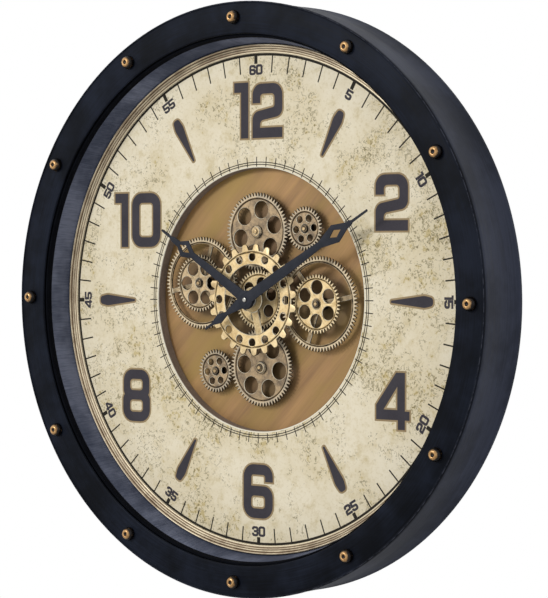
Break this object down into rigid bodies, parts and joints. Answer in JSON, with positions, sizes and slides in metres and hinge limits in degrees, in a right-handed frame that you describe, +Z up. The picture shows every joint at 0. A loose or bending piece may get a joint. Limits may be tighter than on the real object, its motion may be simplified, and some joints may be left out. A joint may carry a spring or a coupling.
{
  "type": "gear clock",
  "caption": "Round wall clock with a studded drum case, printed dial and an open train of turning gear wheels in a round well behind pierced hands.",
  "frame": {"origin": "the point where the hanging screw carries the clock, in the plane of the wall, 236 mm above the clock's axis", "axes": "+Z up, the dial looks along -Y, +Y into the wall, +X to the right as the dial is read"},
  "size_m": [0.6, 0.0768, 0.6],
  "materials": {
    "bezel_black": "satin navy-black enamel",
    "drum_grey": "satin charcoal enamel",
    "stud_brass": "antique brass",
    "liner_grey": "fine hammered grey enamel",
    "gilt_moulding": "aged gilt",
    "dial_face": "aged cream print on board",
    "gear_plate_bronze": "brushed bronze",
    "wheel_brass": "satin light brass",
    "wheel_bronze": "dull dark bronze",
    "hand_black": "matt blue-black enamel",
    "bright_steel": "satin steel",
    "black_plastic": "moulded black plastic",
    "cell_jacket": "plain grey jacket",
    "panel_board": "dark hardboard",
    "bumper_rubber": "soft black rubber"
  },
  "bodies": {
    "case": {"front_bezel": "bezel_black", "case_drum": "drum_grey", "board_ledge": "drum_grey", "bezel_stud_01": "stud_brass", "bezel_stud_02": "stud_brass", "bezel_stud_03": "stud_brass", "bezel_stud_04": "stud_brass", "bezel_stud_05": "stud_brass", "bezel_stud_06": "stud_brass", "bezel_stud_07": "stud_brass", "bezel_stud_08": "stud_brass", "bezel_stud_09": "stud_brass", "bezel_stud_10": "stud_brass", "bezel_stud_11": "stud_brass", "bezel_stud_12": "stud_brass", "inner_liner": "liner_grey", "gear_well_ring": "liner_grey", "dial_moulding": "gilt_moulding", "dial_board": "dial_face", "gear_plate": "gear_plate_bronze", "threaded_bushing": "wheel_brass", "bottom_arbor": "wheel_brass", "upper_small_arbor": "wheel_brass", "lower_small_arbor": "wheel_brass", "right_arbor": "wheel_brass", "left_arbor": "wheel_brass", "centre_nut": "bright_steel", "ring_collar": "bright_steel", "keyhole_hanger": "bright_steel", "movement_housing": "black_plastic", "gear_motor_housing": "black_plastic", "movement_battery": "cell_jacket", "gear_motor_battery": "cell_jacket", "rear_panel": "panel_board", "wall_bumper_left": "bumper_rubber", "wall_bumper_right": "bumper_rubber"},
    "minute_hand": {"minute_hand": "hand_black", "minute_arbor": "wheel_brass", "hand_nut": "bright_steel"},
    "hour_hand": {"hour_hand": "hand_black", "hour_pipe": "wheel_brass"},
    "setting_knob": {"setting_knob": "black_plastic"},
    "centre_gear": {"centre_wheel": "wheel_brass", "centre_sleeve": "wheel_brass", "toothed_ring": "wheel_brass"},
    "top_gear": {"top_wheel": "wheel_bronze", "top_wheel_hub": "wheel_brass", "drive_shaft": "wheel_brass"},
    "bottom_gear": {"bottom_wheel": "wheel_bronze", "bottom_wheel_hub": "wheel_brass"},
    "right_gear": {"right_rim_wheel": "wheel_brass", "right_front_wheel": "wheel_brass"},
    "left_gear": {"left_rim_wheel": "wheel_brass", "left_front_wheel": "wheel_brass"},
    "upper_small_gear": {"upper_small_wheel": "wheel_bronze"},
    "lower_small_gear": {"lower_small_wheel": "wheel_bronze"},
    "motor_switch": {"gear_motor_switch": "bright_steel"}
  },
  "joints": [
    {"name": "minute_hand_turn", "type": "hinge", "parent": "case", "child": "minute_hand", "pos_m": [0, -0.052, -0.236], "axis": [0, 1, 0], "continuous": true},
    {"name": "hour_hand_turn", "type": "hinge", "parent": "case", "child": "hour_hand", "pos_m": [0, -0.0492, -0.236], "axis": [0, 1, 0], "continuous": true},
    {"name": "setting_knob_turn", "type": "hinge", "parent": "case", "child": "setting_knob", "pos_m": [-0.016, -0.0062, -0.224], "axis": [0, 1, 0], "continuous": true},
    {"name": "centre_wheel_turn", "type": "hinge", "parent": "case", "child": "centre_gear", "pos_m": [0, -0.0292, -0.236], "axis": [0, 1, 0], "continuous": true},
    {"name": "top_wheel_turn", "type": "hinge", "parent": "case", "child": "top_gear", "pos_m": [-0.00278, -0.0282, -0.16668], "axis": [0, 1, 0], "continuous": true},
    {"name": "bottom_wheel_turn", "type": "hinge", "parent": "case", "child": "bottom_gear", "pos_m": [0.00278, -0.0282, -0.30532], "axis": [0, 1, 0], "continuous": true},
    {"name": "right_wheels_turn", "type": "hinge", "parent": "case", "child": "right_gear", "pos_m": [0.07742, -0.0292, -0.23952], "axis": [0, 1, 0], "continuous": true},
    {"name": "left_wheels_turn", "type": "hinge", "parent": "case", "child": "left_gear", "pos_m": [-0.07578, -0.0292, -0.21976], "axis": [0, 1, 0], "continuous": true},
    {"name": "upper_small_wheel_turn", "type": "hinge", "parent": "case", "child": "upper_small_gear", "pos_m": [0.05841, -0.0282, -0.16412], "axis": [0, 1, 0], "continuous": true},
    {"name": "lower_small_wheel_turn", "type": "hinge", "parent": "case", "child": "lower_small_gear", "pos_m": [-0.05822, -0.0282, -0.31076], "axis": [0, 1, 0], "continuous": true},
    {"name": "motor_switch_slide", "type": "slide", "parent": "case", "child": "motor_switch", "axis": [1, 0, 0], "range_m": [0, 0.003]}
  ],
  "couplings": [
    {"joint": "hour_hand_turn", "follows": "minute_hand_turn", "ratio": 0.083333},
    {"joint": "setting_knob_turn", "follows": "minute_hand_turn", "ratio": 0.33333},
    {"joint": "top_wheel_turn", "follows": "centre_wheel_turn", "ratio": -0.7619},
    {"joint": "bottom_wheel_turn", "follows": "centre_wheel_turn", "ratio": -0.7619},
    {"joint": "right_wheels_turn", "follows": "centre_wheel_turn", "ratio": -0.63158},
    {"joint": "left_wheels_turn", "follows": "centre_wheel_turn", "ratio": -0.63158},
    {"joint": "upper_small_wheel_turn", "follows": "centre_wheel_turn", "ratio": 1.3714},
    {"joint": "lower_small_wheel_turn", "follows": "centre_wheel_turn", "ratio": 1.3714}
  ]
}
